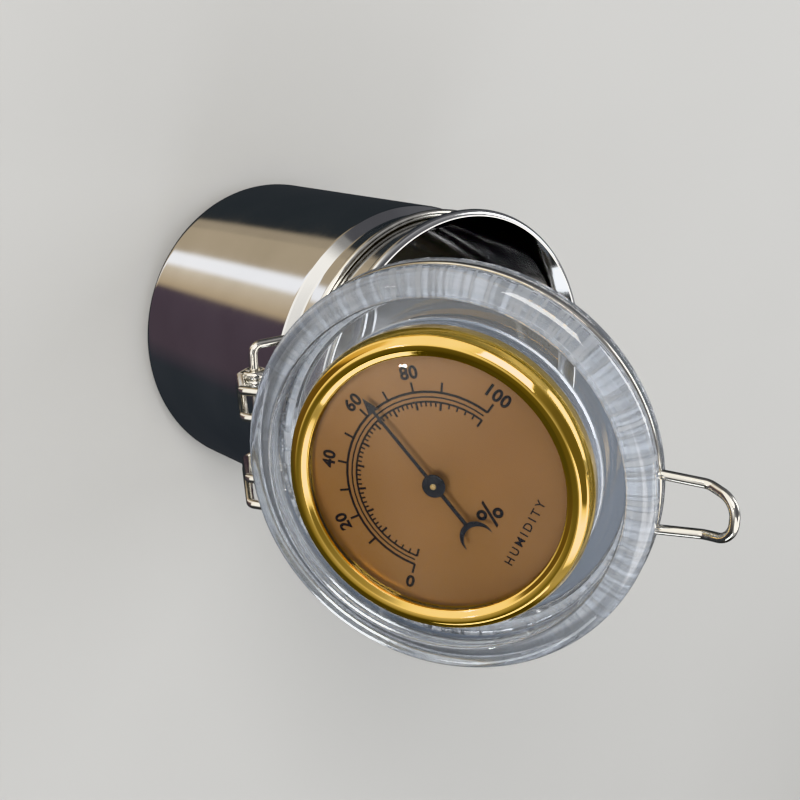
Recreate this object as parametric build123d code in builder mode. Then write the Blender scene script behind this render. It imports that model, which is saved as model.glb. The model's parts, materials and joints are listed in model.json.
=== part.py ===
from build123d import *
import os
from math import cos, radians, sin

# A steel storage canister with a hinged clear lid that carries a dial hygrometer.
# Row frame: origin at the centre of the canister's base, +Z up to the mouth,
# the hinge on the -Y side and the latch on the +Y side. The lid stands open at rest.

# ---------------------------------------------------------------- driving dimensions (mm)
# canister
body_r = 50.0
wall = 0.8
rim_z = 107.0
base_corner = 6.5
shoulder_z = 80.0
neck_r = 47.5
neck_low_z = 83.2
neck_high_z = 101.4
rim_curl_r = 1.6
rim_curl_centre_r = 49.8

# wire work
wire_r = 1.2
pin_play = 0.06
eye_r = wire_r * 2 + pin_play
turn_pitch = 2.2
neck_ring_z = 91.5
hinge_y = -62.5
hinge_z = 89.9
hinge_arm_x = 21.0
hook_x = 12.0
hook_spread = 3.6
latch_y = 57.0
latch_z = 90.5
latch_arm_x = 15.0
bail_x = 10.5
bail_length = 24.3
catch_turn = 3.0
catch_angle = 35.0
catch_bend = 61.4
catch_lift = 8.0

# lid, in radius and height above the rim plane
open_angle = 60.0
lid_r = 51.5
lid_shoulder_r = 51.2
lid_face_h = 12.6
flange_low_h = 1.4
plug_r = 43.0
plug_low_h = -4.5
groove_h = 5.2
lid_ring_r = 50.15
recess_r = 44.0
recess_floor_h = 4.0
boss_r = 37.2
boss_h = 9.3
bore_r = 34.8

# hygrometer, in radius and height above the rim plane
bezel_r = 37.7
bezel_low_h = 9.4
bezel_side_h = 13.4
bezel_top_h = 17.9
aperture_r = 31.9
case_r = 33.3
case_wall = 0.6
case_low_h = -2.0
case_top_h = 13.35
dial_h = 13.95
dial_t = 0.5
seal_top_h = 15.35
crystal_rim_h = 16.25
crystal_apex_h = 18.6
crystal_t = 1.0
grip_r = 34.73
pointer_h = 15.4
pointer_t = 0.3
arbor_r = 0.7
pointer_angle = 130.5
pillar_reach = 21.0
front_bridge_h = 11.6
rear_bridge_h = 2.2
bridge_t = 1.0
bridge_w = 9.0
coil_low_h = 6.0
coil_w = 3.0
coil_t = 0.3
coil_first_r = 3.2
coil_step = 1.2
coil_half_turns = 10
regulator_r = 3.0
regulator_low_h = -3.6

# ---------------------------------------------------------------- the open lid's own frame
lid_axis_dir = Vector(0, -sin(radians(open_angle)), cos(radians(open_angle)))
lid_front_dir = Vector(0, cos(radians(open_angle)), sin(radians(open_angle)))
hinge_point = Vector(0, hinge_y, hinge_z)
lid_origin = hinge_point - lid_front_dir * hinge_y + lid_axis_dir * (rim_z - hinge_z)
lid_base = Plane(origin=lid_origin, x_dir=lid_front_dir, z_dir=lid_axis_dir)
lid_section = Plane(origin=lid_origin, x_dir=lid_front_dir, z_dir=(1, 0, 0))
lid_axis = Axis(lid_origin, lid_axis_dir)
jar_section = Plane.XZ
parts = []


def lid_level(height):
    """The plane across the lid at a height above the rim plane."""
    return lid_base.offset(height)


def on_lid(x, y, height):
    """A point given along the lid's front, its side and its axis."""
    return lid_base.from_local_coords((x, y, height))


def on_catch(x, y, height):
    """A point on the lid given along the catch loop, which stands a little to one side."""
    turn = radians(catch_turn)
    return on_lid(x * cos(turn) + y * sin(turn), y * cos(turn) - x * sin(turn), height)


def ring_section(inner, outer, low, high):
    """A rectangle in a section sketch, to revolve into a ring or disc."""
    with Locations(((inner + outer) / 2, (low + high) / 2)):
        Rectangle(outer - inner, high - low)


def disc(inner, outer, low, high):
    """A flat ring or disc on the lid's axis, added to the current part."""
    with BuildSketch(lid_section) as section:
        ring_section(inner, outer, low, high)
    revolve(section.sketch, axis=lid_axis)


def bent_wire(points, bends, radius=wire_r):
    """A round wire of straight runs joined by bends, added to the current part."""
    with BuildLine() as route:
        FilletPolyline(*points, radius=bends)
    with BuildSketch(Plane(origin=route.line @ 0, z_dir=route.line % 0)) as section:
        Circle(radius)
    sweep(section.sketch, path=route.line)


def wire_eye(x, y, z, turns):
    """Turns of wire, side by side, round a hinge bar that runs along X."""
    with BuildSketch(Plane(origin=(x, y, z), x_dir=(0, 1, 0), z_dir=(0, 0, 1))) as section:
        for turn in range(turns):
            with Locations((eye_r, (turn - (turns - 1) / 2) * turn_pitch)):
                Circle(wire_r)
    revolve(section.sketch, axis=Axis((x, y, z), (1, 0, 0)))


def finish(part, label):
    """Name a piece and keep it for export."""
    part.label = label
    parts.append(part)


# ---------------------------------------------------------------- canister
with BuildPart() as canister_body:
    with BuildSketch(jar_section):
        with BuildLine():
            outer_wall = FilletPolyline(
                (0, 0),
                (body_r, 0),
                (body_r, shoulder_z),
                (neck_r, neck_low_z),
                (neck_r, neck_high_z),
                (rim_curl_centre_r - 0.6, rim_z - rim_curl_r),
                radius=[base_corner, 1.5, 1.5, 1.5],
            )
            inner_wall = FilletPolyline(
                (0, wall),
                (body_r - wall, wall),
                (body_r - wall, shoulder_z - 0.3),
                (neck_r - wall, neck_low_z - 0.3),
                (neck_r - wall, neck_high_z + 0.2),
                (rim_curl_centre_r - 1.2, rim_z - rim_curl_r),
                radius=[base_corner - wall, 1.5, 1.5, 1.5],
            )
            Line(outer_wall @ 0, inner_wall @ 0)
            Line(outer_wall @ 1, inner_wall @ 1)
        make_face()
    revolve(axis=Axis.Z)
    with BuildSketch(jar_section):
        with Locations((rim_curl_centre_r, rim_z - rim_curl_r)):
            Circle(rim_curl_r)
    revolve(axis=Axis.Z)
finish(canister_body.part, "canister_body")

neck_ring_r = neck_r + wire_r + 0.05
with BuildPart() as latch_bar:
    front_y = (neck_ring_r**2 - latch_arm_x**2) ** 0.5
    bent_wire(
        [
            (-latch_arm_x, front_y, neck_ring_z),
            (-latch_arm_x, latch_y, latch_z),
            (latch_arm_x, latch_y, latch_z),
            (latch_arm_x, front_y, neck_ring_z),
        ],
        [2.0, 2.0],
    )

with BuildPart() as neck_ring:
    with BuildSketch(jar_section):
        with Locations((neck_ring_r, neck_ring_z)):
            Circle(wire_r)
    revolve(axis=Axis.Z)
    ring_y = (neck_ring_r**2 - hinge_arm_x**2) ** 0.5
    bent_wire(
        [
            (-hinge_arm_x, -ring_y, neck_ring_z),
            (-hinge_arm_x, hinge_y, hinge_z),
            (hinge_arm_x, hinge_y, hinge_z),
            (hinge_arm_x, -ring_y, neck_ring_z),
        ],
        [2.5, 2.5],
    )
    add(latch_bar.part.rotate(Axis.Z, -catch_turn))
finish(neck_ring.part, "neck_ring")

with BuildPart() as latch_bail:
    for side in (-1, 1):
        wire_eye(side * bail_x, latch_y, latch_z, 1)
    bent_wire(
        [
            (-bail_x, latch_y + eye_r, latch_z),
            (-bail_x, latch_y + eye_r - 0.4, latch_z - 6),
            (-bail_x, latch_y, latch_z - bail_length),
            (bail_x, latch_y, latch_z - bail_length),
            (bail_x, latch_y + eye_r - 0.4, latch_z - 6),
            (bail_x, latch_y + eye_r, latch_z),
        ],
        [4.0, 3.0, 3.0, 4.0],
    )
finish(latch_bail.part.rotate(Axis.Z, -catch_turn), "latch_bail")

# ---------------------------------------------------------------- lid
with BuildPart() as lid_body:
    with BuildSketch(lid_section):
        with BuildLine():
            shoulder_round = 3.9
            edge = Polyline(
                (lid_shoulder_r - shoulder_round, lid_face_h),
                (recess_r + 1.0, lid_face_h),
                (recess_r, lid_face_h - 1.0),
                (recess_r, recess_floor_h + 0.5),
                (recess_r - 0.5, recess_floor_h),
                (boss_r + 0.5, recess_floor_h),
                (boss_r, recess_floor_h + 0.5),
                (boss_r, boss_h),
                (bore_r, boss_h),
                (bore_r, plug_low_h),
                (plug_r - 0.6, plug_low_h),
                (plug_r, plug_low_h + 0.6),
                (plug_r, flange_low_h),
                (lid_r - 0.4, flange_low_h),
                (lid_r, flange_low_h + 0.4),
                (lid_r, groove_h - 1.6),
                (lid_r - 1.9, groove_h - 1.4),
                (lid_ring_r - wire_r - 0.05, groove_h - 0.6),
                (lid_ring_r - wire_r - 0.05, groove_h + 0.6),
                (lid_r - 1.9, groove_h + 1.4),
                (lid_shoulder_r, groove_h + 1.6),
                (lid_shoulder_r, lid_face_h - shoulder_round),
            )
            RadiusArc(edge @ 1, edge @ 0, -shoulder_round)
        make_face()
    revolve(axis=lid_axis)
finish(lid_body.part, "lid_body")

with BuildPart() as lid_gasket:
    with BuildSketch(lid_section):
        with BuildLine():
            Polyline(
                (plug_r + 0.05, flange_low_h),
                (plug_r + 0.05, -2.6),
                (plug_r + 1.2, -2.6),
                (plug_r + 1.2, 0.6),
                (48.4, 0.6),
                (49.0, 0.35),
                (50.4, 0.35),
                (51.0, 0.8),
                (51.0, flange_low_h),
                (plug_r + 0.05, flange_low_h),
            )
        make_face()
    revolve(axis=lid_axis)
finish(lid_gasket.part, "lid_gasket")

hinge_h = hinge_z - rim_z
with BuildPart() as lid_ring:
    with BuildSketch(lid_section):
        with Locations((lid_ring_r, groove_h)):
            Circle(wire_r)
    revolve(axis=lid_axis)
    tip_reach = catch_bend + catch_lift * cos(radians(catch_angle))
    tip_h = groove_h + catch_lift * sin(radians(catch_angle))
    bent_wire(
        [
            on_catch(49.8, 6.9, groove_h),
            on_catch(catch_bend, 6.2, groove_h),
            on_catch(tip_reach, 4.7, tip_h),
            on_catch(tip_reach, -4.7, tip_h),
            on_catch(catch_bend, -6.2, groove_h),
            on_catch(49.8, -6.9, groove_h),
        ],
        [4.0, 5.0, 5.0, 4.0],
    )
finish(lid_ring.part, "lid_ring")

with BuildPart() as hinge_hooks:
    for side in (-1, 1):
        wire_eye(side * hook_x, hinge_y, hinge_z, 2)
        for spread in (-1, 1):
            root_y = side * (hook_x + spread * hook_spread)
            turn_y = side * (hook_x + spread * turn_pitch / 2)
            root_x = -((lid_ring_r**2 - root_y**2) ** 0.5)
            bent_wire(
                [
                    on_lid(root_x, root_y, groove_h),
                    on_lid(-54.8, root_y, groove_h - 0.6),
                    on_lid(hinge_y - eye_r - 0.1, turn_y, hinge_h + 4),
                    on_lid(hinge_y - eye_r - 0.1, turn_y, hinge_h - 0.4),
                ],
                [2.0, 3.0],
            )
finish(hinge_hooks.part, "hinge_hooks")

# ---------------------------------------------------------------- hygrometer case
with BuildPart() as bezel:
    with BuildSketch(lid_section):
        with BuildLine():
            rim = Polyline(
                (aperture_r, crystal_rim_h + 0.7),
                (aperture_r, crystal_rim_h + 0.05),
                (case_r + 0.1, crystal_rim_h + 0.05),
                (case_r + 0.1, bezel_low_h),
                (bezel_r - 0.4, bezel_low_h),
                (bezel_r, bezel_low_h + 0.4),
                (bezel_r, bezel_side_h),
            )
            ThreePointArc(rim @ 1, (bezel_r - 0.75, bezel_top_h - 1.55), (bezel_r - 2.7, bezel_top_h))
            ThreePointArc((bezel_r - 2.7, bezel_top_h), (bezel_r - 4.5, bezel_top_h - 0.25), rim @ 0)
        make_face()
    revolve(axis=lid_axis)
finish(bezel.part, "bezel")

dome_r = aperture_r - 0.2
hollow_r = dome_r - 0.8
dome_rise = crystal_apex_h - crystal_rim_h
hollow_rise = crystal_apex_h - crystal_t - seal_top_h
with BuildPart() as crystal:
    with BuildSketch(lid_section):
        with BuildLine():
            flat = Polyline(
                (dome_r, crystal_rim_h),
                (case_r, crystal_rim_h),
                (case_r, seal_top_h),
                (hollow_r, seal_top_h),
            )
            outer_apex = (0, crystal_apex_h)
            inner_apex = (0, crystal_apex_h - crystal_t)
            RadiusArc(flat @ 0, outer_apex, -((dome_r**2 + dome_rise**2) / (2 * dome_rise)))
            Line(outer_apex, inner_apex)
            RadiusArc(flat @ 1, inner_apex, -((hollow_r**2 + hollow_rise**2) / (2 * hollow_rise)))
        make_face()
    revolve(axis=lid_axis)
finish(crystal.part, "crystal")

with BuildPart() as crystal_seal:
    disc(32.3, case_r, dial_h, seal_top_h)
finish(crystal_seal.part, "crystal_seal")

with BuildPart() as dial_plate:
    disc(1.7, case_r, dial_h - dial_t, dial_h)
finish(dial_plate.part, "dial_plate")

with BuildPart() as case_cup:
    with BuildSketch(lid_section):
        with BuildLine():
            Polyline(
                (case_r, case_top_h),
                (case_r, case_low_h),
                (26.0, case_low_h),
                (26.0, case_low_h + case_wall),
                (case_r - case_wall, case_low_h + case_wall),
                (case_r - case_wall, case_top_h),
                (case_r, case_top_h),
            )
        make_face()
    revolve(axis=lid_axis)
    with BuildSketch(lid_level(case_low_h)):
        with PolarLocations(28.0, 3, start_angle=30):
            Circle(0.95)
    extrude(amount=case_wall, mode=Mode.SUBTRACT)
finish(case_cup.part, "case_cup")

with BuildPart() as grip_ring:
    with BuildSketch(lid_section):
        ring_section(case_r, case_r + 0.7, -1.0, 8.6)
        for rib in range(4):
            ring_section(case_r + 0.7, grip_r, -0.4 + rib * 2.5, 0.7 + rib * 2.5)
    revolve(axis=lid_axis)
finish(grip_ring.part, "grip_ring")

with BuildPart() as back_cover:
    disc(regulator_r + 0.3, 30.0, case_low_h - 0.6, case_low_h)
    with BuildSketch(lid_level(case_low_h)):
        with PolarLocations(28.0, 3, start_angle=30):
            Circle(0.95)
        for row, slots in ((8.5, 6), (13.5, 10), (18.5, 14), (23.0, 18)):
            with PolarLocations(row, slots):
                SlotOverall(4.4, 1.6, rotation=90)
    extrude(amount=-0.6, mode=Mode.SUBTRACT)
finish(back_cover.part, "back_cover")


def small_screws(base_plane, places, head_h, shank_length, shank_r=0.9, head_r=1.7):
    """Slotted pan-head screws with their heads above a plane and shanks below it."""
    with BuildSketch(base_plane) as heads:
        with Locations(*places):
            Circle(head_r)
    extrude(heads.sketch, amount=head_h)
    with BuildSketch(base_plane) as shanks:
        with Locations(*places):
            Circle(shank_r)
    extrude(shanks.sketch, amount=-shank_length)
    with BuildSketch(base_plane.offset(head_h)) as slots:
        with Locations(*places):
            Rectangle(head_r * 3, 0.4)
    extrude(slots.sketch, amount=-head_h / 2, mode=Mode.SUBTRACT)


back_plane = Plane(
    origin=lid_level(case_low_h - 0.6).origin,
    x_dir=lid_front_dir,
    z_dir=-lid_axis_dir,
)
back_places = [
    (28.0 * cos(radians(angle)), -28.0 * sin(radians(angle)))
    for angle in (30, 150, 270)
]
with BuildPart() as back_screws:
    small_screws(back_plane, back_places, 0.8, 1.9)
finish(back_screws.part, "back_screws")

# ---------------------------------------------------------------- hygrometer movement
pillar_places = [(0, pillar_reach), (0, -pillar_reach)]
with BuildPart() as front_bridge:
    with BuildSketch(lid_level(front_bridge_h)):
        SlotCenterToCenter(2 * pillar_reach, bridge_w, rotation=90)
        Circle(1.9, mode=Mode.SUBTRACT)
        with Locations(*pillar_places):
            Circle(0.95, mode=Mode.SUBTRACT)
    extrude(amount=bridge_t)
finish(front_bridge.part, "front_bridge")

with BuildPart() as rear_bridge:
    with BuildSketch(lid_level(rear_bridge_h)):
        SlotCenterToCenter(2 * pillar_reach, bridge_w, rotation=90)
        Circle(regulator_r + 0.06, mode=Mode.SUBTRACT)
        with Locations(*pillar_places):
            Circle(0.95, mode=Mode.SUBTRACT)
    extrude(amount=bridge_t)
    with BuildSketch(lid_level(rear_bridge_h)):
        for end in (-1, 1):
            with Locations((0, end * (pillar_reach + 8.2))):
                Rectangle(5.0, 9.0)
        Circle(case_r - case_wall - 0.02, mode=Mode.INTERSECT)
    extrude(amount=bridge_t)
finish(rear_bridge.part, "rear_bridge")

with BuildPart() as bridge_pillars:
    with BuildSketch(lid_level(rear_bridge_h + bridge_t)):
        with Locations(*pillar_places):
            Circle(1.9)
            Circle(0.95, mode=Mode.SUBTRACT)
    extrude(amount=front_bridge_h - rear_bridge_h - bridge_t)
finish(bridge_pillars.part, "bridge_pillars")

rear_plane = Plane(
    origin=lid_level(rear_bridge_h).origin,
    x_dir=lid_front_dir,
    z_dir=-lid_axis_dir,
)
with BuildPart() as bridge_screws:
    small_screws(rear_plane, pillar_places, 0.9, 4.0)
    small_screws(lid_level(front_bridge_h + bridge_t), pillar_places, 0.6, 4.0)
finish(bridge_screws.part, "bridge_screws")

with BuildPart() as dial_bush:
    with BuildSketch(lid_section):
        ring_section(arbor_r + 0.05, 1.6, dial_h - dial_t, dial_h + 0.35)
        ring_section(arbor_r + 0.05, 3.0, front_bridge_h + bridge_t, dial_h - dial_t)
        ring_section(arbor_r + 0.05, 1.85, front_bridge_h - 0.4, front_bridge_h + bridge_t)
    revolve(axis=lid_axis)
finish(dial_bush.part, "dial_bush")

arm_h = rear_bridge_h + bridge_t + 0.3
coil_last_r = coil_first_r + coil_half_turns * coil_step
stud_r = 0.9
stud_x = coil_last_r + coil_t / 2 + stud_r
with BuildPart() as regulator:
    disc(0, regulator_r, regulator_low_h, arm_h + 1.0)
    disc(0, 5.0, arm_h, arm_h + 1.0)
    with BuildSketch(lid_level(arm_h)):
        with Locations((stud_x / 2, 0)):
            Rectangle(stud_x, 3.6)
        with Locations((stud_x, 0)):
            Circle(1.8)
            Circle(stud_r, mode=Mode.SUBTRACT)
    extrude(amount=1.0)
    with BuildSketch(lid_level(arm_h + 1.0)):
        Circle(arbor_r + 0.05)
    extrude(amount=-3.0, mode=Mode.SUBTRACT)
    with BuildSketch(lid_level(regulator_low_h)):
        Rectangle(7.0, 0.8)
    extrude(amount=1.2, mode=Mode.SUBTRACT)
finish(regulator.part, "regulator")

with BuildPart() as coil_stud:
    with BuildSketch(lid_level(arm_h)):
        with Locations((stud_x, 0)):
            Circle(stud_r)
    extrude(amount=coil_low_h + coil_w + 0.5 - arm_h)
finish(coil_stud.part, "coil_stud")


def coil_edge(offset):
    """One edge of the flat coil: half circles that grow by a step each half turn."""
    start = Vector(coil_first_r + offset, 0)
    arcs = []
    for turn in range(coil_half_turns):
        radius = coil_first_r + turn * coil_step + offset
        centre_x = (turn % 2) * coil_step
        way = 1 if turn % 2 == 0 else -1
        middle = Vector(centre_x, way * radius)
        end = Vector(centre_x - way * radius, 0)
        arcs.append(ThreePointArc(start, middle, end))
        start = end
    return arcs


with BuildPart() as humidity_coil:
    with BuildSketch(lid_level(coil_low_h)):
        with BuildLine():
            inner_edge = coil_edge(-coil_t / 2)
            outer_edge = coil_edge(coil_t / 2)
            Line(inner_edge[0] @ 0, outer_edge[0] @ 0)
            Line(inner_edge[-1] @ 1, outer_edge[-1] @ 1)
        make_face()
    extrude(amount=coil_w)
finish(humidity_coil.part, "humidity_coil")

# ---------------------------------------------------------------- pointer and its arbor
with BuildPart() as arbor:
    disc(0, arbor_r, arm_h - 1.8, pointer_h + 1.0)
finish(arbor.part, "arbor")

with BuildPart() as coil_collet:
    disc(arbor_r, 2.5, coil_low_h - 0.3, coil_low_h + coil_w + 0.3)
finish(coil_collet.part, "coil_collet")

with BuildPart() as pointer_hub:
    with BuildSketch(lid_section):
        ring_section(arbor_r, 1.8, dial_h + 0.5, pointer_h + 0.75)
        ring_section(1.8, 2.9, pointer_h + pointer_t, pointer_h + 0.7)
    revolve(axis=lid_axis)
finish(pointer_hub.part, "pointer_hub")

pointer_plane = Plane(
    origin=lid_level(pointer_h).origin,
    x_dir=lid_base.rotated((0, 0, pointer_angle)).x_dir,
    z_dir=lid_axis_dir,
)
with BuildPart() as pointer:
    with BuildSketch(pointer_plane):
        with Locations((11.45, 0)):
            Rectangle(22.9, 0.75)
        with BuildLine():
            Polyline((26.4, 0), (22.1, 1.55), (22.7, 0), (22.1, -1.55), (26.4, 0))
        make_face()
        with Locations((-6.1, 0)):
            Rectangle(12.2, 0.9)
        with Locations((-15.8, 0)):
            Circle(4.15)
        with Locations((-17.1, 0)):
            Circle(4.05, mode=Mode.SUBTRACT)
        Circle(2.9)
        Circle(1.8, mode=Mode.SUBTRACT)
    extrude(amount=pointer_t)
finish(pointer.part, "pointer")

# ---------------------------------------------------------------- write every piece
os.makedirs("parts", exist_ok=True)
for part in parts:
    export_step(part, f"parts/{part.label}.step")
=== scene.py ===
"""Looks for a steel canister whose clear lid carries a dial hygrometer.

The canister stands upright in its own frame, with its lid open. Lengths in the piece
outlines are millimetres, and everything in the scene is metres.
"""
import json
import math

import bmesh
import bpy
from mathutils import Matrix, Vector


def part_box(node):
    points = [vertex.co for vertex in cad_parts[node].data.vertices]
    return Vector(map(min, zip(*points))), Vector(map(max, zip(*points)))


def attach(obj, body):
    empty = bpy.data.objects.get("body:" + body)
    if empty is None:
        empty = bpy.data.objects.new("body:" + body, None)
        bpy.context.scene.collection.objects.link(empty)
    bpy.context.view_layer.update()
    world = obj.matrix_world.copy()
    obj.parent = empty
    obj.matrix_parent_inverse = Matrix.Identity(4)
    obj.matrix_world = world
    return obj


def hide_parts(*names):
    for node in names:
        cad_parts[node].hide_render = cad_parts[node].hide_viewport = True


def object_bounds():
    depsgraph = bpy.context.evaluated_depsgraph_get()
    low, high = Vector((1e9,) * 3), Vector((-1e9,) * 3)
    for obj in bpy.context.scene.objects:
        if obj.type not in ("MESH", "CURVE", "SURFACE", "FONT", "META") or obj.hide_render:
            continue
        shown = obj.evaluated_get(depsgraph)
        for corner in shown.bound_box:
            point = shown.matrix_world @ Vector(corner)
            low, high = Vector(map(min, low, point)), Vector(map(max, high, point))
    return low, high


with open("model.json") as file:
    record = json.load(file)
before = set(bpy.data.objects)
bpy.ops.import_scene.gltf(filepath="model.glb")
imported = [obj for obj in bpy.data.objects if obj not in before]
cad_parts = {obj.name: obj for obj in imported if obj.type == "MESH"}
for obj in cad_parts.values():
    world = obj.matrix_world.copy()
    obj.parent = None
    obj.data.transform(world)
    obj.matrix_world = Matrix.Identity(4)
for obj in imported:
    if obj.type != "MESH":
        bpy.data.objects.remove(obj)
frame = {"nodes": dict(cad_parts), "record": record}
cad_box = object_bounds()

MM = 0.001

# how finely shapes are cut
ROUND_STEP = math.radians(7)
DOME_ANGLES = (80, 60, 40, 20)
TURN_STEPS = 224
TUBE_STEPS = 28
EYE_STEPS = 48
HUB_STEPS = 64
LENS_STEPS = 18
SHARP_ANGLE = math.radians(32)
MERGE_MM = 1e-5
ON_AXIS_MM = 1e-9

# where most values of the noise texture lie
NOISE_LOW = 0.3
NOISE_HIGH = 0.7

# ---------------------------------------------------------------- places from the frame, in millimetres
joints = {joint["name"]: joint for joint in frame["record"]["behaviour"]["joints"]}
rim_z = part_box("canister_body")[1].z / MM
body_r = 50.0
hinge = Vector(joints["lid_hinge"]["pos_m"]) / MM
latch = Vector(joints["latch_swing"]["pos_m"]) / MM
latch_axis = Vector(joints["latch_swing"]["axis"]).normalized()
lid_up = Vector(joints["hygrometer_turn"]["axis"]).normalized()
lid_front = Vector((0, lid_up.z, -lid_up.y))
lid_side = lid_up.cross(lid_front)
lid_origin = hinge - lid_front * hinge.y + lid_up * (rim_z - hinge.z)


def frame_matrix(origin, x_dir, y_dir, z_dir):
    """A placing matrix in metres from an origin in millimetres and three directions."""
    matrix = Matrix((x_dir, y_dir, z_dir)).transposed().to_4x4()
    matrix.translation = origin * MM
    return matrix


catch_turn = math.atan2(-latch_axis.y, latch_axis.x)
latch_y = math.hypot(latch.x, latch.y)
JAR = Matrix.Identity(4)
LATCH = Matrix.Rotation(-catch_turn, 4, "Z")
LID = frame_matrix(lid_origin, lid_front, lid_side, lid_up)
CATCH = LID @ Matrix.Rotation(-catch_turn, 4, "Z")

# canister wall, in millimetres
wall = 0.8
neck_r = 47.5
shoulder_z = 80
curl_r = 1.6

# wire work, in millimetres
wire_r = 1.2
eye_gap = 0.06
eye_r = wire_r * 2 + eye_gap
neck_ring_z = 91.5
neck_ring_r = 48.75
hinge_arm_x = 21.0
latch_arm_x = 15.0
bail_x = 10.5
bail_length = 24.3
bail_kink_z = latch.z - 6
hook_x = 12.0
hook_spread = 3.6
hook_bend_x = -54.8
turn_pitch = 2.2
groove_h = 5.2
lid_ring_r = 50.15
catch_root = (49.8, 6.9)
catch_bend = (61.4, 6.2)
catch_tip_y = 4.7
catch_lift = 8.0
catch_angle = math.radians(35)
hinge_h = hinge.z - rim_z

# lid, as radius and height above the rim plane
bore_r = 34.8
plug_r = 43.0
plug_low_h = -4.5
seat_h = 1.4
flange_r = 51.5
shoulder_r = 51.2
face_h = 12.6
recess_r = 44.0
recess_h = 4.0
collar_r = 37.2
collar_h = 9.3

# hygrometer, as radius and height above the rim plane
bezel_r = 37.7
bezel_top_h = 17.9
aperture_r = 31.9
case_r = 33.3
bezel_low_h = 9.4
bezel_seat_h = 16.3
lens_r = 31.7
lens_h = 16.25
lens_rise = 2.35
lens_inner_r = 30.9
lens_under_h = 15.35
lens_inner_rise = 2.25
dial_h = 13.95
dial_t = 0.5
dial_hole_r = 1.7
print_h = 0.02
pointer_h = 15.4
pointer_t = 0.3
pointer_angle = 130.5


# ---------------------------------------------------------------- outlines and meshes
def rounded(corners, closed=True):
    """An outline through corners (x, y) or (x, y, radius), with an arc at each radius."""
    points = []
    count = len(corners)
    for i, corner in enumerate(corners):
        here = Vector(corner[:2])
        radius = corner[2] if len(corner) > 2 else 0
        if radius == 0 or (not closed and i in (0, count - 1)):
            points.append(here)
            continue
        before = (Vector(corners[i - 1][:2]) - here).normalized()
        after = (Vector(corners[(i + 1) % count][:2]) - here).normalized()
        half = before.angle(after) / 2
        start = here + before * (radius / math.tan(half))
        centre = here + (before + after).normalized() * (radius / math.sin(half))
        turn = math.pi - 2 * half
        way = -1 if before.cross(after) > 0 else 1
        steps = max(2, math.ceil(turn / ROUND_STEP))
        for step in range(steps + 1):
            spin = Matrix.Rotation(way * turn * step / steps, 2)
            points.append(centre + spin @ (start - centre))
    return points


def arc(centre, radius, start_deg, end_deg, fewest=2):
    """Points along a circular arc, by angles in degrees."""
    turn = math.radians(end_deg - start_deg)
    steps = max(fewest, math.ceil(abs(turn) / ROUND_STEP))
    points = []
    for i in range(steps + 1):
        a = math.radians(start_deg) + turn * i / steps
        points.append(Vector((centre[0] + radius * math.cos(a), centre[1] + radius * math.sin(a))))
    return points


def lathe(bm, outline, steps=TURN_STEPS):
    """Turns a closed outline of (radius, height) about Z."""
    rings = []
    for step in range(steps):
        a = 2 * math.pi * step / steps
        rings.append([bm.verts.new((p[0] * math.cos(a), p[0] * math.sin(a), p[1])) for p in outline])
    for i, ring in enumerate(rings):
        after = rings[(i + 1) % steps]
        for j in range(len(outline)):
            k = (j + 1) % len(outline)
            if outline[j][0] < ON_AXIS_MM and outline[k][0] < ON_AXIS_MM:
                continue
            bm.faces.new((ring[j], after[j], after[k], ring[k]))


def tube(bm, path, radius, closed=False, steps=TUBE_STEPS):
    """A round wire along a path of points, with domed ends unless it is closed."""
    count = len(path)
    tangents = []
    for i in range(count):
        before = path[i - 1] if closed or i > 0 else path[i]
        after = path[(i + 1) % count] if closed or i < count - 1 else path[i]
        tangents.append((after - before).normalized())
    normal = tangents[0].orthogonal().normalized()
    rings = []
    spots = [(path[i], tangents[i], radius) for i in range(count)]
    if not closed:
        first, last = tangents[0], tangents[-1]
        angles = [math.radians(degrees) for degrees in DOME_ANGLES]
        dome = [(math.cos(a) * radius, math.sin(a) * radius) for a in angles]
        spots = [(path[0] - first * out, first, size) for size, out in dome] + spots
        spots += [(path[-1] + last * out, last, size) for size, out in reversed(dome)]
    for centre, tangent, size in spots:
        normal = (normal - tangent * normal.dot(tangent)).normalized()
        side = tangent.cross(normal)
        ring = []
        for k in range(steps):
            a = 2 * math.pi * k / steps
            ring.append(bm.verts.new(centre + (normal * math.cos(a) + side * math.sin(a)) * size))
        rings.append(ring)
    for i in range(len(rings) - (0 if closed else 1)):
        ring, after = rings[i], rings[(i + 1) % len(rings)]
        for k in range(steps):
            m = (k + 1) % steps
            bm.faces.new((ring[k], ring[m], after[m], after[k]))
    if not closed:
        bm.faces.new(reversed(rings[0]))
        bm.faces.new(rings[-1])


def bent(points, bends):
    """A 3-D path of straight runs joined by arcs, one bend radius for each inner point."""
    path = [points[0]]
    for i, radius in enumerate(bends, start=1):
        here = points[i]
        before = (points[i - 1] - here).normalized()
        after = (points[i + 1] - here).normalized()
        half = before.angle(after) / 2
        centre = here + (before + after).normalized() * (radius / math.sin(half))
        start = here + before * (radius / math.tan(half)) - centre
        axis = before.cross(after).normalized()
        turn = math.pi - 2 * half
        steps = max(3, math.ceil(turn / ROUND_STEP))
        for step in range(steps + 1):
            path.append(centre + Matrix.Rotation(-turn * step / steps, 3, axis) @ start)
    path.append(points[-1])
    return path


def circle_path(centre, radius, x_dir, y_dir, steps=TURN_STEPS):
    """Points round a full circle."""
    turns = [2 * math.pi * i / steps for i in range(steps)]
    return [centre + (x_dir * math.cos(a) + y_dir * math.sin(a)) * radius for a in turns]


def plate(bm, outline, low, high):
    """A flat shape with square edges, between two heights."""
    under = [bm.verts.new((p[0], p[1], low)) for p in outline]
    over = [bm.verts.new((p[0], p[1], high)) for p in outline]
    bm.faces.new(reversed(under))
    bm.faces.new(over)
    count = len(outline)
    for i in range(count):
        j = (i + 1) % count
        bm.faces.new((under[i], under[j], over[j], over[i]))


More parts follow.
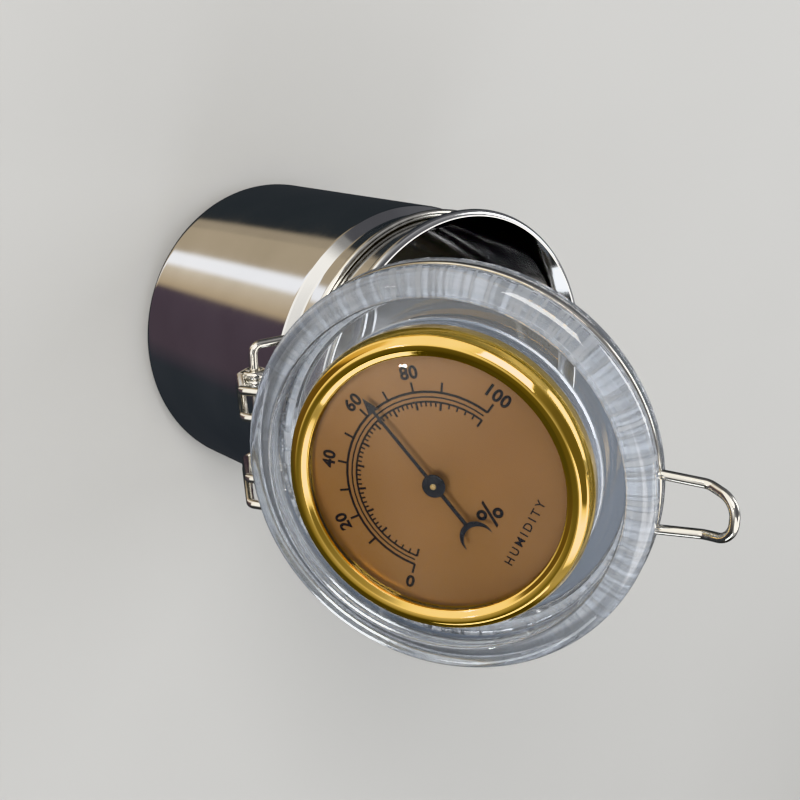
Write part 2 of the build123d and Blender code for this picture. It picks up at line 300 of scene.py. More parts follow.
def piece(name, bm, matrix, body, material, replaced=()):
    """Makes an object of a mesh in millimetres, placed, riding and shaded smooth with sharp edges."""
    bmesh.ops.remove_doubles(bm, verts=bm.verts, dist=MERGE_MM)
    bmesh.ops.recalc_face_normals(bm, faces=bm.faces)
    bm.transform(matrix @ Matrix.Scale(MM, 4))
    for face in bm.faces:
        face.smooth = True
    for edge in bm.edges:
        edge.smooth = not (edge.is_manifold and edge.calc_face_angle() > SHARP_ANGLE)
    mesh = bpy.data.meshes.new(name)
    bm.to_mesh(mesh)
    bm.free()
    made = bpy.data.objects.new(name, mesh)
    bpy.context.scene.collection.objects.link(made)
    made.data.materials.append(material)
    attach(made, body)
    if replaced:
        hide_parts(*replaced)
    return made


# ---------------------------------------------------------------- materials
class Shading:
    """A material with one Principled shader and a few nodes that feed it."""

    def __init__(self, name, **values):
        self.material = bpy.data.materials.new(name)
        self.material.use_nodes = True
        self.tree = self.material.node_tree
        self.shader = self.tree.nodes["Principled BSDF"]
        for key, value in values.items():
            self.shader.inputs[key.replace("_", " ")].default_value = value

    def node(self, kind, inputs=None, **settings):
        """A node of a kind, with settings and with inputs that are values or other sockets."""
        made = self.tree.nodes.new(kind)
        for key, value in settings.items():
            setattr(made, key, value)
        for key, value in (inputs or {}).items():
            if isinstance(value, bpy.types.NodeSocket):
                self.tree.links.new(value, made.inputs[key])
            else:
                made.inputs[key].default_value = value
        return made

    def place(self, stretch=(1, 1, 1)):
        """The point on the piece, in the canister's frame in metres, stretched."""
        at = self.node("ShaderNodeTexCoord").outputs["Object"]
        return self.node("ShaderNodeMapping", {"Vector": at, "Scale": stretch}).outputs["Vector"]

    def place_round_lid(self, across, along):
        """The radius and height of the point on the lid, stretched, so that a texture makes rings."""
        back = LID.inverted()
        at = self.node("ShaderNodeTexCoord").outputs["Object"]
        move = {"Vector": at, "Rotation": back.to_euler(), "Location": back.translation}
        spun = self.node("ShaderNodeMapping", move).outputs["Vector"]
        parts = self.node("ShaderNodeSeparateXYZ", {"Vector": spun})
        flat = self.node("ShaderNodeCombineXYZ", {"X": parts.outputs["X"], "Y": parts.outputs["Y"]})
        length = self.node("ShaderNodeVectorMath", {0: flat.outputs["Vector"]}, operation="LENGTH")
        wide = self.times(length.outputs["Value"], across)
        high = self.times(parts.outputs["Z"], along)
        return self.node("ShaderNodeCombineXYZ", {"X": wide, "Y": high}).outputs["Vector"]

    def times(self, first, second):
        """The product of two values."""
        return self.node("ShaderNodeMath", {0: first, 1: second}, operation="MULTIPLY").outputs[0]

    def noise(self, vector, scale, detail=3.0):
        """Noise from 0 to 1."""
        made = self.node("ShaderNodeTexNoise", {"Vector": vector, "Scale": scale, "Detail": detail})
        return made.outputs["Fac"]

    def spread(self, value, low, high, from_low=NOISE_LOW, from_high=NOISE_HIGH):
        """A value moved from one range to another."""
        made = self.node(
            "ShaderNodeMapRange",
            {"Value": value, "From Min": from_low, "From Max": from_high, "To Min": low, "To Max": high},
        )
        return made.outputs["Result"]

    def tint(self, value, dark, light, low=NOISE_LOW, high=NOISE_HIGH):
        """Colours the surface between two tones, as a value goes from low to high."""
        made = self.node("ShaderNodeValToRGB", {"Fac": value})
        for stop, position, colour in zip(made.color_ramp.elements, (low, high), (dark, light)):
            stop.position = position
            stop.color = (*colour, 1)
        self.use("Base Color", made.outputs["Color"])

    def use(self, socket, value):
        """Feeds a socket of the shader."""
        self.tree.links.new(value, self.shader.inputs[socket])

    def bump(self, height, depth_m, strength=1.0):
        """Relief from a height of 0 to 1."""
        made = self.node("ShaderNodeBump", {"Height": height, "Distance": depth_m, "Strength": strength})
        self.use("Normal", made.outputs["Normal"])


def steel_sheet():
    """Polished stainless sheet with a faint grain round the wall and soft smudges."""
    look = Shading("steel_sheet", Metallic=1.0, Anisotropic=0.35)
    grain = look.noise(look.place((30, 30, 2600)), 1.0, 4.0)
    smudge = look.noise(look.place(), 38.0, 5.0)
    look.tint(smudge, (0.60, 0.60, 0.60), (0.67, 0.67, 0.67))
    look.use("Roughness", look.spread(look.times(grain, smudge), 0.06, 0.15, 0.1, 0.5))
    look.bump(grain, 0.000003, 0.3)
    return look.material


def bright_wire():
    """Bright drawn wire with a few fine scratches."""
    look = Shading("bright_wire", Metallic=1.0)
    fine = look.noise(look.place(), 420.0, 4.0)
    look.tint(fine, (0.70, 0.68, 0.63), (0.80, 0.78, 0.73))
    look.use("Roughness", look.spread(fine, 0.07, 0.17))
    look.bump(fine, 0.000006, 0.3)
    return look.material


def clear_acrylic():
    """Thick clear acrylic with faint moulding rings under a glossy skin."""
    look = Shading("clear_acrylic", IOR=1.49, Transmission_Weight=0.93, Coat_Weight=0.6, Coat_Roughness=0.0)
    rings = look.noise(look.place_round_lid(1400, 900), 1.0, 3.0)
    look.tint(rings, (0.78, 0.83, 0.90), (0.90, 0.93, 0.97))
    look.use("Roughness", look.spread(rings, 0.0, 0.012))
    look.bump(rings, 0.00001, 0.15)
    return look.material


def silicone():
    """Soft greyish white silicone, tinted in strong painted rings of light and shade that stand in for the
    bright and dark bands seen through the clear lid.
    """
    look = Shading("silicone", Specular_IOR_Level=0.3)
    cloud = look.noise(look.place_round_lid(260, 260), 1.0, 2.0)
    # painted light and shade: dark and light rings that show through the clear lid as its bright and dark
    # bands, not moulding marks
    look.tint(cloud, (0.10, 0.11, 0.125), (0.60, 0.62, 0.65), 0.36, 0.64)
    look.use("Roughness", look.spread(cloud, 0.38, 0.52))
    return look.material


def gold_plate():
    """Bright gold plate."""
    look = Shading("gold_plate", Metallic=1.0)
    cloud = look.noise(look.place(), 90.0, 4.0)
    look.tint(cloud, (0.90, 0.60, 0.17), (0.95, 0.66, 0.21))
    look.use("Roughness", look.spread(cloud, 0.04, 0.09))
    return look.material


def crystal_lens():
    """Clear lens with a trace of haze."""
    look = Shading("crystal_lens", IOR=1.5, Transmission_Weight=1.0)
    look.shader.inputs["Base Color"].default_value = (0.98, 0.99, 0.99, 1)
    haze = look.noise(look.place(), 50.0, 3.0)
    look.use("Roughness", look.spread(haze, 0.0, 0.02))
    return look.material


def copper_dial():
    """Satin copper-bronze dial with a fine blasted grain."""
    look = Shading("copper_dial", Metallic=0.8)
    cloud = look.noise(look.place(), 45.0, 3.0)
    speck = look.noise(look.place(), 3200.0, 2.0)
    look.tint(cloud, (0.27, 0.140, 0.054), (0.31, 0.162, 0.063))
    look.use("Roughness", look.spread(speck, 0.30, 0.42))
    look.bump(speck, 0.000012, 0.5)
    return look.material


def black_ink():
    """Printed black ink."""
    look = Shading("black_ink", Specular_IOR_Level=0.15)
    speck = look.noise(look.place(), 2500.0, 2.0)
    look.tint(speck, (0.004, 0.004, 0.005), (0.010, 0.010, 0.013))
    look.use("Roughness", look.spread(speck, 0.35, 0.5))
    return look.material


def black_lacquer():
    """Black lacquered steel."""
    look = Shading("black_lacquer", Specular_IOR_Level=0.3)
    speck = look.noise(look.place(), 1800.0, 3.0)
    look.tint(speck, (0.005, 0.006, 0.008), (0.012, 0.013, 0.018))
    look.use("Roughness", look.spread(speck, 0.25, 0.4))
    return look.material


def plain_metal(name, dark, light, low_rough, high_rough):
    """A turned or drawn metal with a fine grain."""
    look = Shading(name, Metallic=1.0)
    speck = look.noise(look.place(), 900.0, 4.0)
    look.tint(speck, dark, light)
    look.use("Roughness", look.spread(speck, low_rough, high_rough))
    look.bump(speck, 0.000008, 0.3)
    return look.material


def black_rubber():
    """Matte black rubber."""
    look = Shading("black_rubber")
    speck = look.noise(look.place(), 1200.0, 4.0)
    look.tint(speck, (0.020, 0.020, 0.021), (0.045, 0.045, 0.046))
    look.use("Roughness", look.spread(speck, 0.55, 0.75))
    look.bump(speck, 0.00003, 0.5)
    return look.material


STEEL = steel_sheet()
WIRE = bright_wire()
ACRYLIC = clear_acrylic()
SILICONE_PAINTED_RINGS = silicone()
GOLD = gold_plate()
LENS = crystal_lens()
COPPER = copper_dial()
INK = black_ink()
LACQUER = black_lacquer()
BRASS = plain_metal("turned_brass", (0.58, 0.40, 0.17), (0.70, 0.50, 0.24), 0.18, 0.32)
CASE = plain_metal("drawn_case", (0.50, 0.47, 0.40), (0.60, 0.57, 0.50), 0.25, 0.40)
NICKEL = plain_metal("nickel_screw", (0.55, 0.54, 0.52), (0.66, 0.65, 0.62), 0.16, 0.28)
STRIP = plain_metal("coated_strip", (0.52, 0.36, 0.20), (0.62, 0.45, 0.27), 0.28, 0.42)
RUBBER = black_rubber()


# ---------------------------------------------------------------- canister
def canister():
    """The drawn shell: rounded base, step to the neck and a rim curled outwards."""
    outer = [
        (0, 0),
        (body_r, 0, 6.5),
        (body_r, shoulder_z, 1.8),
        (neck_r, 83.2, 1.6),
        (neck_r, 101.4, 2.4),
        (48.5, 103.9),
    ]
    curl = arc((49.8, rim_z - curl_r), curl_r, 222, 460)
    inner = [
        (47.9, 104.2),
        (neck_r - wall, 101.6, 2.4),
        (neck_r - wall, 82.9, 1.4),
        (body_r - wall, 79.7, 1.8),
        (body_r - wall, wall, 5.7),
        (0, wall),
    ]
    bm = bmesh.new()
    lathe(bm, rounded(outer, closed=False) + curl + rounded(inner, closed=False))
    piece("canister_shell", bm, JAR, "canister", STEEL, ["canister_body"])


def bar_with_arms(bm, arm_x, bar_y, bar_z, bend):
    """A straight hinge bar on two arms that leave the neck ring."""
    way = math.copysign(1, bar_y)
    root_y = way * math.sqrt(neck_ring_r**2 - arm_x**2)
    corners = [
        Vector((-arm_x, root_y, neck_ring_z)),
        Vector((-arm_x, bar_y, bar_z)),
        Vector((arm_x, bar_y, bar_z)),
        Vector((arm_x, root_y, neck_ring_z)),
    ]
    tube(bm, bent(corners, [bend, bend]), wire_r)


def neck_wire():
    """The wire round the neck, with the hinge bar behind and the latch bar in front."""
    bm = bmesh.new()
    ring = circle_path(Vector((0, 0, neck_ring_z)), neck_ring_r, Vector((1, 0, 0)), Vector((0, 1, 0)))
    tube(bm, ring, wire_r, closed=True)
    bar_with_arms(bm, latch_arm_x, latch_y, latch.z, 2.0)
    bm.transform(LATCH)
    bar_with_arms(bm, hinge_arm_x, hinge.y, hinge.z, 2.5)
    piece("neck_wire", bm, JAR, "canister", WIRE, ["neck_ring"])


def latch_wire():
    """The bail that hangs on the latch bar and swings up over the catch loop."""
    bm = bmesh.new()
    for side in (-1, 1):
        middle = Vector((side * bail_x, latch_y, latch.z))
        eye = circle_path(middle, eye_r, Vector((0, 1, 0)), Vector((0, 0, 1)), EYE_STEPS)
        tube(bm, eye, wire_r, closed=True)
    leg_y = latch_y + eye_r
    kink_y = leg_y - 0.4
    corners = [
        Vector((-bail_x, leg_y, latch.z)),
        Vector((-bail_x, kink_y, bail_kink_z)),
        Vector((-bail_x, latch_y, latch.z - bail_length)),
        Vector((bail_x, latch_y, latch.z - bail_length)),
        Vector((bail_x, kink_y, bail_kink_z)),
        Vector((bail_x, leg_y, latch.z)),
    ]
    tube(bm, bent(corners, [4.0, 3.0, 3.0, 4.0]), wire_r)
    piece("latch_wire", bm, LATCH, "latch", WIRE, ["latch_bail"])


# ---------------------------------------------------------------- lid
def lid_disc():
    """The thick clear lid, with its back flange, wire groove, rounded face and recess."""
    groove_r = lid_ring_r - wire_r - 0.05
    outline = rounded([
        (bore_r, collar_h, 0.3),
        (bore_r, plug_low_h, 0.3),
        (plug_r, plug_low_h, 0.6),
        (plug_r, seat_h, 0.4),
        (flange_r, seat_h, 0.5),
        (flange_r, 3.6, 0.5),
        (49.6, 3.8, 0.6),
        (groove_r, 4.6, 0.3),
        (groove_r, 5.8, 0.3),
        (49.6, 6.6, 0.6),
        (shoulder_r, 6.8, 0.6),
        (shoulder_r, face_h, 3.9),
        (recess_r, face_h, 1.1),
        (recess_r, recess_h, 0.7),
        (collar_r, recess_h, 0.7),
        (collar_r, collar_h, 0.4),
    ])
    bm = bmesh.new()
    lathe(bm, outline, 2 * TURN_STEPS)
    made = piece("lid_disc", bm, LID, "lid", ACRYLIC, ["lid_body"])
    made.visible_shadow = False


def lid_seal():
    """The silicone gasket under the flange, with a sealing bead and a skirt."""
    skirt_r = plug_r + 0.05
    skirt_low_h = -2.6
    under_h = 0.6
    bead_h = 0.35
    outline = rounded([
        (skirt_r, seat_h),
        (skirt_r, skirt_low_h, 0.4),
        (44.2, skirt_low_h, 0.4),
        (44.2, under_h, 0.4),
        (48.2, under_h, 0.3),
        (49.0, bead_h, 0.4),
        (50.4, bead_h, 0.4),
        (51.0, 0.8, 0.3),
        (51.0, seat_h),
    ])
    bm = bmesh.new()
    lathe(bm, outline)
    piece("lid_seal", bm, LID, "lid", SILICONE_PAINTED_RINGS, ["lid_gasket"])


def lid_wire():
    """The wire in the lid's groove, bent out in front into the catch loop."""
    tip_x = catch_bend[0] + catch_lift * math.cos(catch_angle)
    tip_h = groove_h + catch_lift * math.sin(catch_angle)
    corners = [
        Vector((*catch_root, groove_h)),
        Vector((*catch_bend, groove_h)),
        Vector((tip_x, catch_tip_y, tip_h)),
    ]
    corners += [Vector((p.x, -p.y, p.z)) for p in reversed(corners)]
    bm = bmesh.new()
    ring = circle_path(Vector((0, 0, groove_h)), lid_ring_r, Vector((1, 0, 0)), Vector((0, 1, 0)))
    tube(bm, ring, wire_r, closed=True)
    tube(bm, bent(corners, [4.0, 5.0, 5.0, 4.0]), wire_r)
    piece("lid_wire", bm, CATCH, "lid", WIRE, ["lid_ring"])


def lid_hooks():
    """Two V-shaped hooks whose eyes turn on the hinge bar."""
    bm = bmesh.new()
    for side in (-1, 1):
        for spread in (-1, 1):
            root_y = side * (hook_x + spread * hook_spread)
            turn_y = side * (hook_x + spread * turn_pitch / 2)
            root_x = -math.sqrt(lid_ring_r**2 - root_y**2)
            corners = [
                Vector((root_x, root_y, groove_h)),
                Vector((hook_bend_x, root_y, groove_h - 0.6)),
                Vector((hinge.y - eye_r - 0.05, turn_y, hinge_h + 4)),
                Vector((hinge.y - eye_r, turn_y, hinge_h)),
            ]
            tube(bm, bent(corners, [2.0, 3.0]), wire_r)
            middle = Vector((hinge.y, turn_y, hinge_h))
            eye = circle_path(middle, eye_r, Vector((1, 0, 0)), Vector((0, 0, 1)), EYE_STEPS)
            tube(bm, eye, wire_r, closed=True)
    piece("lid_hooks", bm, LID, "lid", WIRE, ["hinge_hooks"])


# ---------------------------------------------------------------- hygrometer
def bezel_ring():
    """The rounded gold bezel with a small step inside its aperture."""
    inside_r = case_r + 0.1
    outline = rounded([
        (inside_r, bezel_low_h, 0.2),
        (bezel_r - 0.2, bezel_low_h, 0.4),
        (bezel_r, 13.4, 2.0),
        (bezel_r - 1.0, bezel_top_h - 1.2, 1.6),
        (bezel_r - 2.7, bezel_top_h, 1.6),
        (bezel_r - 4.4, bezel_top_h - 0.2, 1.2),
        (aperture_r + 0.35, 17.1, 0.25),
        (aperture_r, 17.0, 0.1),
        (aperture_r, bezel_seat_h),
        (inside_r, bezel_seat_h),
    ])
    bm = bmesh.new()
    lathe(bm, outline)
    piece("bezel_ring", bm, LID, "hygrometer", GOLD, ["bezel"])


def lens():
    """The domed crystal."""
    def dome(edge_r, edge_h, rise, way):
        radius = (edge_r**2 + rise**2) / (2 * rise)
        edge = math.degrees(math.acos(edge_r / radius))
        points = arc((0, edge_h + rise - radius), radius, edge, 90, LENS_STEPS)
        return points if way > 0 else points[::-1]

    outline = dome(lens_r, lens_h, lens_rise, 1) + dome(lens_inner_r, lens_under_h, lens_inner_rise, -1)
    outline += [Vector((case_r, lens_under_h)), Vector((case_r, lens_h))]
    bm = bmesh.new()
    lathe(bm, outline)
    made = piece("lens", bm, LID, "hygrometer", LENS, ["crystal"])
    made.visible_shadow = False


def dial_disc():
    """The dial plate."""
    bm = bmesh.new()
    under = dial_h - dial_t
    lathe(bm, [(dial_hole_r, under), (case_r, under), (case_r, dial_h), (dial_hole_r, dial_h)])
    piece("dial_disc", bm, LID, "hygrometer", COPPER, ["dial_plate"])


ZERO_ANGLE = 254.7
END_DECADE = 29.6
MID_DECADE = 17.46
SCALE_R = 22.6
MIDDLE_SCALE_R = 21.35
INNER_SCALE_R = 20.2
TICK_END_R = 25.1
TICK_LOW_R = 18.2
SMALL_TICK_LOW_R = 19.0
TICK_WIDTH = 0.56
SMALL_TICK_WIDTH = 0.42
NUMBER_R = 27.45


def scale_angle(percent):
    """The dial angle of a reading, whose first and last decades are wider."""
    decade = [0, END_DECADE] + [END_DECADE + MID_DECADE * i for i in range(1, 9)]
    decade.append(decade[-1] + END_DECADE)
    low = min(int(percent // 10), 9)
    share = percent / 10 - low
    return ZERO_ANGLE - (decade[low] + (decade[low + 1] - decade[low]) * share)


def ring_band(bm, radius, width, start_deg, end_deg):
    """A printed arc."""
    outer = arc((0, 0), radius + width / 2, start_deg, end_deg)
    inner = arc((0, 0), radius - width / 2, start_deg, end_deg)
    low, high = dial_h, dial_h + print_h
    rows = []
    for line, h in ((outer, low), (outer, high), (inner, high), (inner, low)):
        rows.append([bm.verts.new((p.x, p.y, h)) for p in line])
    for i in range(len(outer) - 1):
        for j in range(4):
            a, b = rows[j], rows[(j + 1) % 4]
            bm.faces.new((a[i], a[i + 1], b[i + 1], b[i]))
    bm.faces.new([row[0] for row in rows])
    bm.faces.new([row[-1] for row in reversed(rows)])


def tick(bm, angle_deg, start_r, end_r, width):
    """A printed radial line."""
    a = math.radians(angle_deg)
    along = Vector((math.cos(a), math.sin(a)))
    across = Vector((-along.y, along.x)) * width / 2
    start, end = along * start_r, along * end_r
    plate(bm, [start - across, end - across, end + across, start + across], dial_h, dial_h + print_h)


def dial_scale():
    """Three arcs, a long tick outside at each ten, and ticks of two inside."""
    bm = bmesh.new()
    first, last = scale_angle(0), scale_angle(100)
    ring_band(bm, SCALE_R, 0.62, first, last)
    ring_band(bm, MIDDLE_SCALE_R, 0.38, first - 0.6, last + 0.6)
    ring_band(bm, INNER_SCALE_R, 0.5, first, last)
    for percent in range(0, 101, 2):
        angle = scale_angle(percent)
        if percent % 10 == 0:
            tick(bm, angle, SCALE_R - 0.1, TICK_END_R, TICK_WIDTH)
            tick(bm, angle, TICK_LOW_R, INNER_SCALE_R + 0.1, TICK_WIDTH)
        else:
            tick(bm, angle, SMALL_TICK_LOW_R, INNER_SCALE_R + 0.1, SMALL_TICK_WIDTH)
    piece("dial_scale", bm, LID, "hygrometer", INK)


def lettering(name, text, size, radius, angle_deg, turn_deg, weight, spacing=1.0):
    """Printed text centred at a radius and an angle on the dial."""
    curve = bpy.data.curves.new(name + "_text", "FONT")
    curve.body = text
    curve.size = size * MM
    curve.offset = weight * MM
    curve.space_character = spacing
    curve.align_x = "CENTER"
    curve.align_y = "CENTER"
    curve.extrude = print_h * MM / 2
    curve.resolution_u = 6
    source = bpy.data.objects.new(name + "_text", curve)
    bpy.context.scene.collection.objects.link(source)
    mesh = bpy.data.meshes.new_from_object(source.evaluated_get(bpy.context.evaluated_depsgraph_get()))
    bpy.data.objects.remove(source)
    bm = bmesh.new()
    bm.from_mesh(mesh)
    bm.transform(Matrix.Scale(1 / MM, 4))
    xs, ys = [v.co.x for v in bm.verts], [v.co.y for v in bm.verts]
    centre = Vector(((min(xs) + max(xs)) / 2, (min(ys) + max(ys)) / 2, 0))
    a = math.radians(angle_deg)
    spot = Vector((math.cos(a) * radius, math.sin(a) * radius, dial_h + print_h / 2))
    spin = Matrix.Rotation(math.radians(turn_deg), 4, "Z")
    bm.transform(Matrix.Translation(spot) @ spin @ Matrix.Translation(-centre))
    piece(name, bm, LID, "hygrometer", INK)


def dial_lettering():
    """Numbers round the scale, the percent sign and a plain word."""
    dial_top = scale_angle(50)
    for percent in range(0, 101, 20):
        angle = scale_angle(percent)
        lettering(f"dial_number_{percent}", str(percent), 4.3, NUMBER_R, angle, angle - 90, 0.15, 1.06)
    lettering("dial_percent", "%", 8.0, 14.5, dial_top - 181, dial_top - 90, 0.12)
    lettering("dial_word", "HUMIDITY", 3.0, 23.7, dial_top - 180.4, dial_top - 91, 0.04, 1.46)


def needle():
    """The pointer: a thin shaft with an arrow tip and a crescent tail."""
    shaft = [(2.0, -0.42), (23.0, -0.34), (23.0, 0.34), (2.0, 0.42)]
    arrow = [(26.4, 0), (22.1, 1.55), (22.7, 0), (22.1, -1.55)]
    tail = [(-2.0, 0.45), (-12.2, 0.45), (-12.2, -0.45), (-2.0, -0.45)]
    crescent = arc((-15.8, 0), 4.15, 102, -102) + arc((-17.1, 0), 4.05, -85, 85)
    bm = bmesh.new()
    for outline in (shaft, arrow, tail, crescent):
        plate(bm, outline, pointer_h, pointer_h + pointer_t)
    bmesh.ops.recalc_face_normals(bm, faces=bm.faces)
    bm.transform(Matrix.Rotation(math.radians(pointer_angle), 4, "Z"))
    piece("needle", bm, LID, "pointer", LACQUER, ["pointer"])


def needle_hub():
    """The domed boss over the arbor, with the arbor's bright end in its middle."""
    hole_r, stem_r, boss_r = 0.72, 1.8, 2.9
    outline = rounded([
        (hole_r, dial_h + 0.5),
        (stem_r, dial_h + 0.5, 0.2),
        (stem_r, pointer_h + pointer_t),
        (boss_r, pointer_h + pointer_t, 0.1),
        (boss_r, pointer_h + 0.72, 0.3),
        (hole_r, pointer_h + 0.85, 0.1),
    ])
    bm = bmesh.new()
    lathe(bm, outline, HUB_STEPS)
    piece("needle_hub", bm, LID, "pointer", LACQUER, ["pointer_hub"])


# ---------------------------------------------------------------- CAD pieces that stay
def dress_kept_nodes():
    """Better materials for the pieces whose CAD shape is right."""
    looks = {
        CASE: ["case_cup", "back_cover"],
        RUBBER: ["grip_ring", "crystal_seal"],
        NICKEL: ["back_screws", "bridge_screws"],
        BRASS: ["front_bridge", "rear_bridge", "bridge_pillars", "dial_bush", "regulator", "coil_stud",
                "coil_collet", "arbor"],
        STRIP: ["humidity_coil"],
    }
    for material, names in looks.items():
        for name in names:
            for slot in frame["nodes"][name].material_slots:
                slot.material = material


# ---------------------------------------------------------------- studio
class Sky:
    """The world's nodes, with the direction a ray leaves in as its turn about Z and its X, Y and Z."""

    def __init__(self):
        world = bpy.data.worlds.new("studio")
        bpy.context.scene.world = world
        world.use_nodes = True
        self.tree = world.node_tree
        self.background = self.tree.nodes["Background"]
        self.way = self.new("ShaderNodeSeparateXYZ")
        self.link(self.new("ShaderNodeTexCoord").outputs["Generated"], self.way.inputs["Vector"])
        turn = self.new("ShaderNodeMath")
        turn.operation = "ARCTAN2"
        self.link(self.way.outputs["Y"], turn.inputs[0])
        self.link(self.way.outputs["X"], turn.inputs[1])
        share = self.new("ShaderNodeMapRange")
        share.inputs["From Min"].default_value = -math.pi
        share.inputs["From Max"].default_value = math.pi
        self.link(turn.outputs[0], share.inputs["Value"])
        self.turn = share.outputs["Result"]

    def new(self, kind):
        """A node of a kind."""
        return self.tree.nodes.new(kind)

    def link(self, start, end):
        """Joins two sockets."""
        self.tree.links.new(start, end)

    def ramp(self, source, stops):
        """A colour ramp through (position, colour) stops."""
        made = self.new("ShaderNodeValToRGB")
        for i, (position, colour) in enumerate(stops):
            stop = made.color_ramp.elements[i] if i < 2 else made.color_ramp.elements.new(position)
            stop.position = position
            stop.color = (*colour, 1)
        self.link(source, made.inputs["Fac"])
        return made.outputs["Color"]

    def ring(self, stops):
        """Colours round the horizon, from (degrees, colour) stops."""
        return self.ramp(self.turn, sorted(((angle + 180) % 360 / 360, colour) for angle, colour in stops))

    def rise(self, low, high, axis="Z"):
        """A smooth step from 0 to 1 as one part of the direction goes from low to high."""
        made = self.new("ShaderNodeMapRange")
        made.interpolation_type = "SMOOTHSTEP"
        made.inputs["From Min"].default_value = low
        made.inputs["From Max"].default_value = high
        self.link(self.way.outputs[axis], made.inputs["Value"])
        return made.outputs["Result"]

    def choose(self, share_of_second, first, second):
        """A mix of two colours."""
        made = self.new("ShaderNodeMix")
        made.data_type = "RGBA"
        self.link(share_of_second, made.inputs["Factor"])
        self.link(first, made.inputs["A"])
        self.link(second, made.inputs["B"])
        return made.outputs["Result"]

    def plain(self, red, green, blue):
        """One colour."""
        made = self.new("ShaderNodeRGB")
        made.outputs[0].default_value = (red, green, blue, 1)
        return made.outputs[0]


def low_ring(sky):
    """What the upright wall mirrors, from below the horizon: a warm band with a white streak in it."""
    return sky.ring([
        (168, (0.081, 0.087, 0.092)),
        (172, (0.50, 0.42, 0.31)),
        (205, (0.60, 0.50, 0.36)),
        (209, (1.35, 1.36, 1.40)),
        (218, (1.35, 1.36, 1.40)),
        (222, (0.85, 0.74, 0.58)),
        (238, (0.66, 0.52, 0.35)),
        (243, (0.156, 0.130, 0.150)),
        (290, (0.145, 0.122, 0.138)),
        (310, (0.088, 0.094, 0.102)),
        (50, (0.062, 0.065, 0.070)),
    ])


def middle_ring(sky):
    """What the bezel and the dial mirror, near the horizon: one wide bright window, dark elsewhere."""
    return sky.ring([
        (150, (0.16, 0.16, 0.17)),
        (185, (0.42, 0.41, 0.39)),
        (198, (1.60, 1.55, 1.45)),
        (252, (1.55, 1.50, 1.42)),
        (272, (1.30, 1.26, 1.20)),
        (284, (0.62, 0.60, 0.57)),
        (292, (0.16, 0.16, 0.16)),
        (304, (0.08, 0.08, 0.08)),
        (340, (0.055, 0.055, 0.05)),
        (30, (0.07, 0.07, 0.07)),
        (80, (0.30, 0.31, 0.33)),
    ])


def overhead(sky):
    """A grey ceiling, with a soft box on the +X side."""
    grey = [(0.30, (0.62, 0.62, 0.62)), (0.60, (0.40, 0.40, 0.41))]
    top = [(0.92, (0.16, 0.16, 0.17))]
    box = [(0.70, (3.40, 3.32, 3.20)), (0.84, (3.40, 3.32, 3.20))]
    height = sky.way.outputs["Z"]
    bare = sky.ramp(height, grey + top)
    lit = sky.ramp(height, grey + box + top)
    return sky.choose(sky.rise(0.12, 0.28, "X"), bare, lit)


def through(sky):
    """What shows through the clear pieces, from dark below to light at the horizon."""
    return sky.ramp(sky.rise(-0.9, 0.9), [
        (0.0, (0.10, 0.12, 0.15)),
        (0.25, (0.20, 0.23, 0.28)),
        (0.45, (0.42, 0.42, 0.43)),
        (0.55, (0.95, 0.93, 0.90)),
        (0.8, (0.50, 0.52, 0.56)),
    ])


def world_light():
    """Rings of tones for mirrors and clear pieces, and plain greys for matte pieces and the camera."""
    sky = Sky()
    below = sky.choose(sky.rise(-0.36, -0.22), low_ring(sky), middle_ring(sky))
    mirrored = sky.choose(sky.rise(0.22, 0.50), below, overhead(sky))
    path = sky.new("ShaderNodeLightPath")
    seen = sky.choose(path.outputs["Is Transmission Ray"], mirrored, through(sky))
    seen = sky.choose(path.outputs["Is Diffuse Ray"], seen, sky.plain(0.56, 0.56, 0.56))
    seen = sky.choose(path.outputs["Is Camera Ray"], seen, sky.plain(0.66, 0.66, 0.65))
    sky.link(seen, sky.background.inputs["Color"])
    sky.background.inputs["Strength"].default_value = 1.0


def soft_light(name, spot, size, watts, target, colour=(1, 1, 1)):
    """An area light that faces a target."""
    data = bpy.data.lights.new(name, "AREA")
    data.shape = "RECTANGLE"
    data.size, data.size_y = size
    data.energy = watts
    data.color = colour
    light = bpy.data.objects.new(name, data)
    bpy.context.scene.collection.objects.link(light)
    light.location = spot
    light.rotation_euler = (target - Vector(spot)).to_track_quat("-Z", "Y").to_euler()


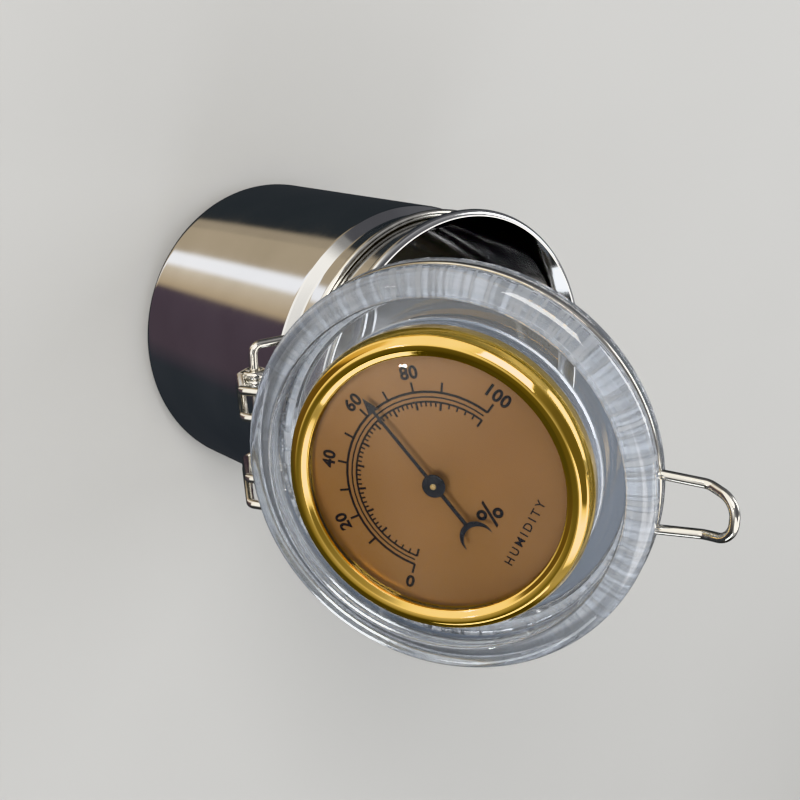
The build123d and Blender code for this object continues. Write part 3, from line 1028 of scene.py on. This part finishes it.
def studio():
    """Pale floor under the base, the world's light and the lamps."""
    floor_r = 30.0
    bm = bmesh.new()
    bmesh.ops.create_circle(bm, cap_ends=True, segments=96, radius=floor_r)
    mesh = bpy.data.meshes.new("floor")
    bm.to_mesh(mesh)
    bm.free()
    floor = bpy.data.objects.new("floor", mesh)
    bpy.context.scene.collection.objects.link(floor)
    floor.location.z = cad_box[0].z
    look = Shading("pale_floor")
    cloud = look.noise(look.place(), 3.0, 3.0)
    look.tint(cloud, (0.58, 0.58, 0.57), (0.61, 0.61, 0.60))
    look.shader.inputs["Roughness"].default_value = 0.7
    look.shader.inputs["Specular IOR Level"].default_value = 0.2
    mesh.materials.append(look.material)
    floor.visible_glossy = False
    floor.visible_transmission = False
    world_light()
    middle = (cad_box[0] + cad_box[1]) / 2
    soft_light("key", (-0.60, -0.50, 0.75), (0.45, 0.45), 4.5, middle, (1.0, 0.97, 0.93))
    soft_light("side", (0.75, -0.35, 0.35), (0.25, 0.5), 1.2, middle, (0.92, 0.96, 1.0))
    soft_light("back", (-0.25, 0.8, 0.6), (0.6, 0.3), 2.5, middle)
    soft_light("spark", (-0.005, -0.95, 0.262), (0.022, 0.022), 0.3, middle)


def camera():
    """The camera, rolled so that the upright canister lies across the picture."""
    place_mm = Vector((-106.3, -229.6, 355.8))
    back = Vector((-0.3118, -0.6031, 0.7346)).normalized()
    up = Vector((-0.949, 0.224, -0.220))
    data = bpy.data.cameras.new("camera")
    data.sensor_width = 36
    data.lens = 53.5
    made = bpy.data.objects.new("camera", data)
    bpy.context.scene.collection.objects.link(made)
    up = (up - back * up.dot(back)).normalized()
    made.matrix_world = frame_matrix(place_mm, up.cross(back), up, back)
    data.clip_start = 0.01
    bpy.context.scene.camera = made


bpy.context.scene.view_settings.view_transform = "Khronos PBR Neutral"
camera()
studio()
canister()
neck_wire()
latch_wire()
lid_disc()
lid_seal()
lid_wire()
lid_hooks()
bezel_ring()
lens()
dial_disc()
dial_scale()
dial_lettering()
needle()
needle_hub()
dress_kept_nodes()
